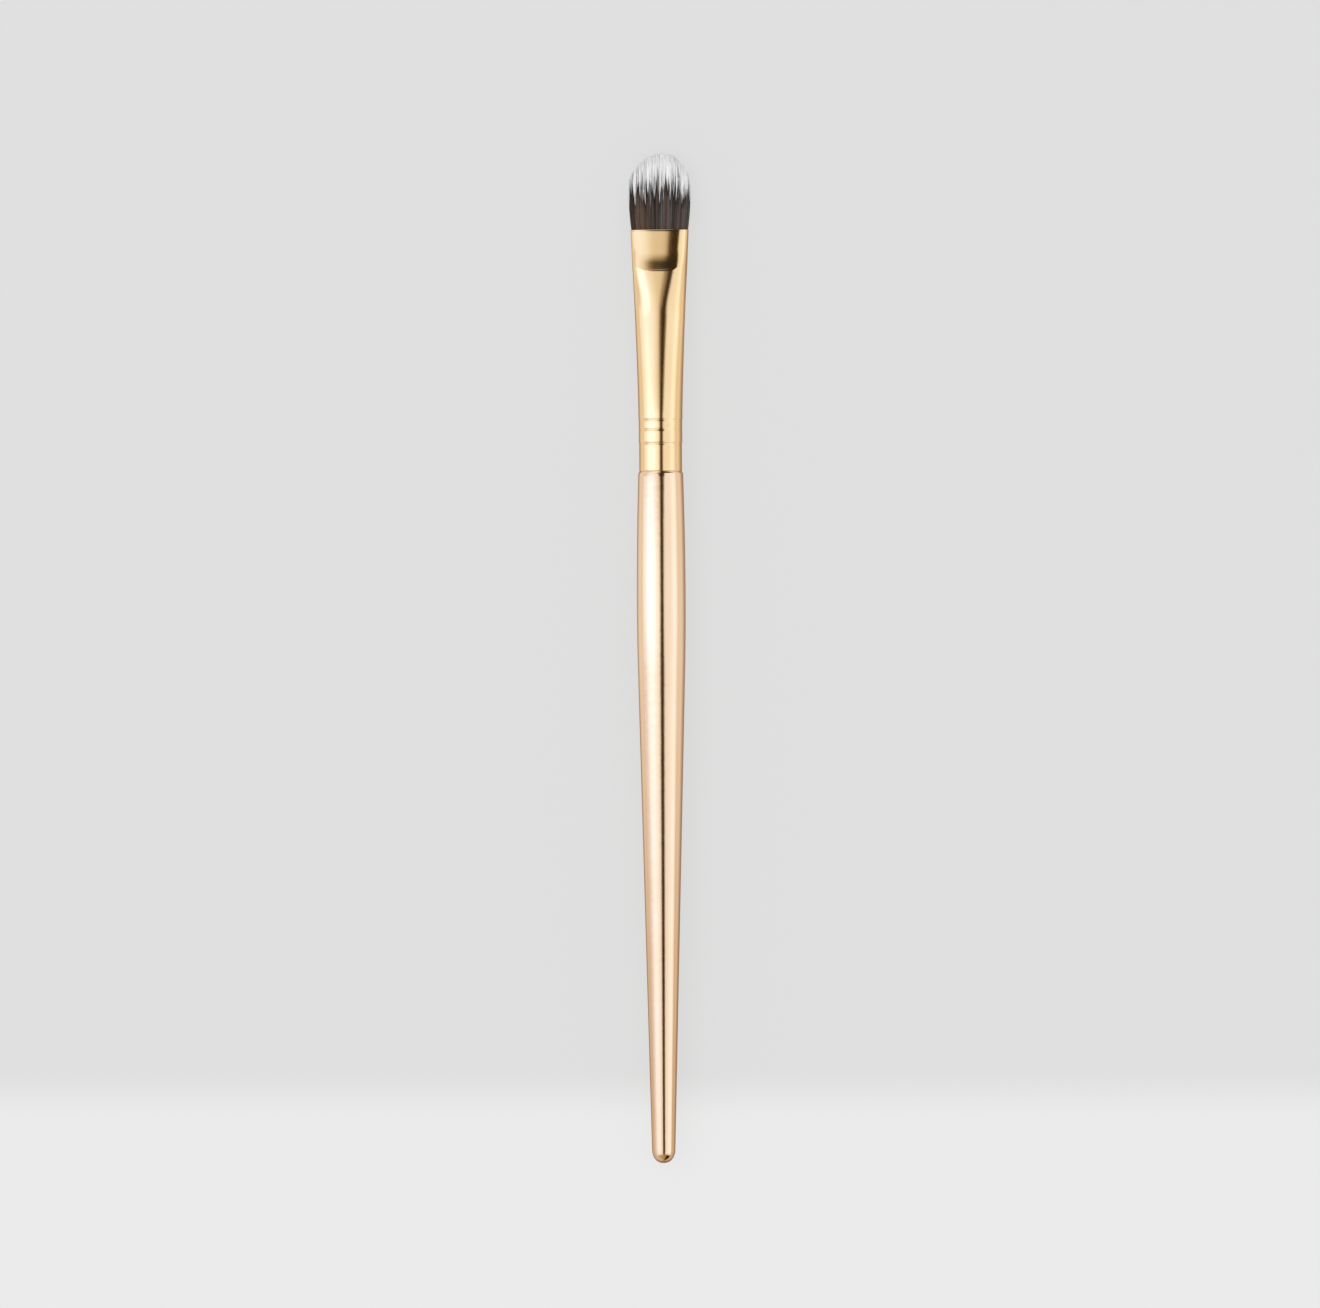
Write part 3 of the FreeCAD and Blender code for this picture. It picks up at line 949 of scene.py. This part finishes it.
heart_ends = (placed(0, heart_foot, 0), placed(0, ferrule_length + heart_top, 0))
heart = skin_of_rings("bristle_heart", heart_rings(), *heart_ends)
heart.data.attributes.new("tone", "FLOAT", "POINT")
heart.data.materials.append(filament_material)
print("heart:", len(heart.data.polygons), "faces")

# %% [markdown]
# ## Hand the pieces to the frame
#
# Each new piece stands for its solid and rides on the same body.

# %% Replace and ride
for piece, node, slot in ((handle, "handle", "handle_lacquer"), (ferrule, "ferrule", "gold_plate"),
                          (tufts[0], "bristle_tuft", "bristle"), (tufts[1], "bristle_tuft", "bristle"),
                          (heart, "bristle_tuft", "bristle")):
    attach(piece, "root")
    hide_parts(node)
print("pieces ride on root")

# %% [markdown]
# ## Table
#
# The table is one pale sheet, a little lighter at the brush's tail, with a soft change between. The camera
# sees it paled, so that the brush's shadow stays faint. Polished metal sees the sheet glow instead, with a
# painted brown shadow close to the brush, which gives the handle and the ferrule their darker edges. Towards
# the tail a painted shade makes all of the sheet look browner to the metal, as the tail's edges are.

# %% Table
SHADOW_PALED = 0.85
lighter_before = -0.0785
darker_after = -0.0690
# The painted shadow that polished metal sees fades out between these distances beside the brush.
close_to_brush = 0.004
clear_of_brush = 0.014
# The painted shade that browns the sheet for metal fades out between these places along the brush.
painted_shade_before = -0.075
painted_shade_gone_after = 0.0


def pale_sheet():
    """Matt paper with no gloss of its own, seen two ways: paled by the camera, glowing with painted shade by
    metal.
    """
    material, tree, shader = new_material("pale_paper")
    place = place_on_piece(tree)
    split = add_node(tree, "ShaderNodeSeparateXYZ", {"Vector": place}).outputs
    headward = remap(tree, split["Y"], lighter_before, darker_after, steps="SMOOTHSTEP")
    colour = mixed_colour(tree, headward, "#eaeaea", "#dfdfdf")
    set_inputs(tree, shader, {"Base Color": colour, "Roughness": 0.9, "Specular IOR Level": 0.0})
    ray = add_node(tree, "ShaderNodeLightPath").outputs
    plain = add_node(tree, "ShaderNodeEmission", {"Color": colour, "Strength": 1.0}).outputs["Emission"]
    paled = maths(tree, "MULTIPLY", ray["Is Camera Ray"], SHADOW_PALED)
    seen = mixed_shader(tree, paled, shader.outputs["BSDF"], plain)
    # Metal sees the sheet glow, with a painted brown shadow close to the brush and painted shade towards the
    # tail.
    aside = maths(tree, "ABSOLUTE", split["X"])
    clear = remap(tree, aside, close_to_brush, clear_of_brush, steps="SMOOTHSTEP")
    sheet_with_painted_tail_shade = mixed_colour(tree, remap(tree, split["Y"], painted_shade_before, painted_shade_gone_after), "#cdb89e", "#e9ddcd")
    shaded = mixed_colour(tree, clear, "#9a7c66", sheet_with_painted_tail_shade)
    painted_mirror_glow = add_node(tree, "ShaderNodeEmission", {"Color": shaded, "Strength": 1.0}).outputs["Emission"]
    shine = maths(tree, "MAXIMUM", ray["Is Glossy Ray"], ray["Is Transmission Ray"])
    final = mixed_shader(tree, shine, seen, painted_mirror_glow)
    tree.links.new(final, tree.nodes["Material Output"].inputs["Surface"])
    return material


table_size = 3.0
table_mesh = bpy.data.meshes.new("table")
table_mesh.from_pydata([(-table_size, -table_size, 0.0), (table_size, -table_size, 0.0),
                        (table_size, table_size, 0.0), (-table_size, table_size, 0.0)], [], [(0, 1, 2, 3)])
table = bpy.data.objects.new("table", table_mesh)
scene.collection.objects.link(table)
table.data.materials.append(pale_sheet())
print("table ready")

# %% [markdown]
# ## Light tent
#
# Polished metal looks like whatever surrounds it. The brush lies in a white tent, and the camera looks in
# through a narrow slit above it. That slit is the thin dark line along handle and ferrule. The world draws
# the tent by the angle around the brush: a bright wall on the left, the slit overhead, a warmer wall on the
# right. Only mirror reflections see it. All else is lit by plain white, and the camera sees a grey backdrop.
#
# A surface that tips towards the head or the tail mirrors another part of the tent, so each part has its own
# levels of light, written as an angle around the brush with a level. A level of 1 mirrors as white, and one
# near 0 as the dark brown room. The parts are named after what mirrors them. The belly's part also serves the
# ferrule's round stretch, the pad is the pressed mouth, the slope leads down to the crease, the joint is the
# round of the handle's shoulder, and the tip is the dim room beyond the tail. Each part takes over from the
# one before it between two leanings towards the head, and a leaning towards the tail is negative.

# %% World
TENT_BRIGHTEST = 2.0
GREEN_LOSS = 0.38
BLUE_LOSS = 0.78
LEFT_WALL_END = -20
BELLY_LEVELS = [
    (-77, 1.00), (-65, 1.30), (-52, 1.58), (-36, 1.60), (-25, 1.36), (-13, 1.15), (-3, 1.00), (1, 0.80),
    (4, 0.35), (7, 0.04), (15, 0.04), (18, 0.35), (21, 0.88), (28, 0.92), (50, 0.92), (60, 0.98), (71, 1.15),
    (89, 0.95),
]
TAIL_LEVELS = [
    (-77, 0.70), (-65, 0.84), (-48, 0.99), (-33, 0.99), (-18, 0.95), (-5, 0.84), (0, 0.50), (4, 0.03),
    (18, 0.03), (22, 0.55), (27, 0.86), (48, 0.97), (71, 1.10), (89, 0.84),
]
FLARE_LEVELS = [
    (-77, 0.76), (-65, 0.92), (-52, 1.02), (-38, 1.02), (-25, 0.92), (-13, 0.80), (-3, 0.70), (2, 0.56),
    (6, 0.15), (8, 0.03), (20, 0.03), (23, 0.40), (26, 0.88), (32, 0.94), (50, 0.97), (60, 1.00), (71, 1.12),
    (89, 0.95),
]
PAD_LEVELS = [
    (-77, 0.74), (-65, 0.88), (-52, 0.97), (-38, 1.00), (-28, 1.00), (-16, 0.98), (-11, 0.89), (-7, 0.80),
    (-3, 0.70), (-1, 0.14), (1, 0.04), (23, 0.03), (26, 0.40), (29, 0.90), (50, 0.97), (71, 1.12), (89, 0.95),
]
SLOPE_LEVELS = [
    (-77, 0.80), (-60, 1.00), (-30, 0.95), (-16, 0.84), (-11, 0.66), (-7, 0.40), (-3, 0.06), (0, 0.03),
    (23, 0.03), (27, 0.40), (31, 0.90), (50, 0.97), (71, 1.10), (89, 0.92),
]
CREASE_LEVELS = [
    (-77, 0.80), (-60, 0.98), (-44, 0.94), (-32, 0.88), (-23, 0.76), (-16, 0.52), (-12, 0.20), (-9, 0.04),
    (-6, 0.02), (23, 0.02), (27, 0.40), (31, 0.90), (50, 0.97), (71, 1.10), (89, 0.92),
]
JOINT_LEVELS = [
    (-77, 0.80), (-60, 1.00), (-42, 0.98), (-25, 0.90), (-10, 0.72), (0, 0.40), (8, 0.08), (14, 0.02),
    (60, 0.02), (72, 0.20), (89, 0.50),
]
TIP_LEVELS = [
    (-77, 0.66), (-50, 0.54), (-25, 0.50), (0, 0.44), (20, 0.38), (36, 0.24), (46, 0.05), (54, 0.01),
    (89, 0.01),
]
LEFT_WALL_TINT = (1.0, 1.02, 1.13)
FLARE_WALL_TINT = (1.0, 1.03, 1.22)
PLAIN_LIGHT = 0.88
Part = namedtuple("Part", "levels brownness left_tint takes_over")
TENT_PARTS = (
    Part(BELLY_LEVELS, 1.0, LEFT_WALL_TINT, None),
    Part(TAIL_LEVELS, 1.0, LEFT_WALL_TINT, (0.0, -0.036)),
    Part(TIP_LEVELS, 1.6, LEFT_WALL_TINT, (-0.42, -0.62)),
    Part(FLARE_LEVELS, 1.15, FLARE_WALL_TINT, (0.074, 0.096)),
    Part(PAD_LEVELS, 1.5, LEFT_WALL_TINT, (0.105, 0.150)),
    Part(SLOPE_LEVELS, 1.2, LEFT_WALL_TINT, (0.20, 0.31)),
    Part(CREASE_LEVELS, 1.0, LEFT_WALL_TINT, (0.34, 0.42)),
    Part(JOINT_LEVELS, 1.0, LEFT_WALL_TINT, (0.58, 0.66)),
)


def angle_share(degrees):
    """Where an angle around the brush falls on the ramp: straight up is the middle, +X is to the right."""
    return (degrees + 180.0) / 360.0


def room_colour(degrees, level, part):
    """White cloth, cooler on the left. Where the tent is open, the room shows, and it is dark and brown."""
    gloom = max(0.0, 1.0 - level) * part.brownness
    tint = part.left_tint if degrees < LEFT_WALL_END else (1.0, 1.0, 1.0)
    shares = (level, level * (1.0 - GREEN_LOSS * gloom), level * (1.0 - BLUE_LOSS * gloom))
    return (*(share * tone / TENT_BRIGHTEST for share, tone in zip(shares, tint)), 1.0)


world = bpy.data.worlds.new("light_tent")
scene.world = world
world.use_nodes = True
sky = world.node_tree
sky.nodes.clear()
heading = add_node(sky, "ShaderNodeTexCoord").outputs["Generated"]
towards = add_node(sky, "ShaderNodeSeparateXYZ", {"Vector": heading}).outputs
round_brush = remap(sky, maths(sky, "ARCTAN2", towards["X"], towards["Z"]), start=-math.pi, end=math.pi)
tent = None
for part in TENT_PARTS:
    stops = [(angle_share(degrees), room_colour(degrees, level, part)) for degrees, level in part.levels]
    colour = colour_ramp(sky, round_brush, stops)
    if part.takes_over:
        colour = mixed_colour(sky, remap(sky, towards["Y"], *part.takes_over), tent, colour)
    tent = colour
backgrounds = ((tent, TENT_BRIGHTEST), (linear("#ffffff"), PLAIN_LIGHT), (linear("#dfdfdf"), 1.0))
lit, plain, pale = [
    add_node(sky, "ShaderNodeBackground", {"Color": colour, "Strength": strength}).outputs["Background"]
    for colour, strength in backgrounds]
ray = add_node(sky, "ShaderNodeLightPath").outputs
seen = mixed_shader(sky, ray["Is Camera Ray"], mixed_shader(sky, ray["Is Glossy Ray"], plain, lit), pale)
add_node(sky, "ShaderNodeOutputWorld", {"Surface": seen})
print("tent ready")

# %% [markdown]
# ## Fill lamp
#
# A soft lamp high on the left gives the bristles and the sheet some shape and shadow. It is hidden from
# mirror reflections, where the tent's left wall stands for it.

# %% Fill lamp
fill_data = bpy.data.lights.new("fill", "AREA")
fill_data.shape = "SQUARE"
fill_data.size = 1.2
fill_data.energy = 3.6
fill = bpy.data.objects.new("fill", fill_data)
scene.collection.objects.link(fill)
fill.location = (-0.25, 0.1, 1.2)
fill.rotation_euler = (-fill.location).to_track_quat("-Z", "Y").to_euler()
fill.visible_glossy = False
print("fill at", round(fill.location.length, 2), "m")

# %% [markdown]
# ## Camera
#
# The brush lies flat, and the photograph shows it upright, so the camera looks down on it with a long lens.
# It stands a little to the right, because the flat of the head faces slightly left.

# %% Camera
frame_width = 222.1
view_turn = 7.0
view_roll = 0.37
camera_distance = 2.0
sensor_width = 36.0
look_at = Vector((-0.0003, 0.0006, 0.004))

camera_data = bpy.data.cameras.new("camera")
camera = bpy.data.objects.new("camera", camera_data)
scene.collection.objects.link(camera)
scene.camera = camera
camera_data.sensor_width = sensor_width
camera_data.lens = sensor_width * camera_distance / (frame_width * MM)
camera_data.clip_end = 20.0
side = Matrix.Rotation(math.radians(view_turn), 4, "Y")
roll = Matrix.Rotation(math.radians(-view_roll), 4, "Z")
camera.matrix_world = Matrix.Translation(look_at) @ side @ roll @ Matrix.Translation((0, 0, camera_distance))

scene.view_settings.view_transform = "Standard"
print("lens", round(camera_data.lens, 1), "mm")
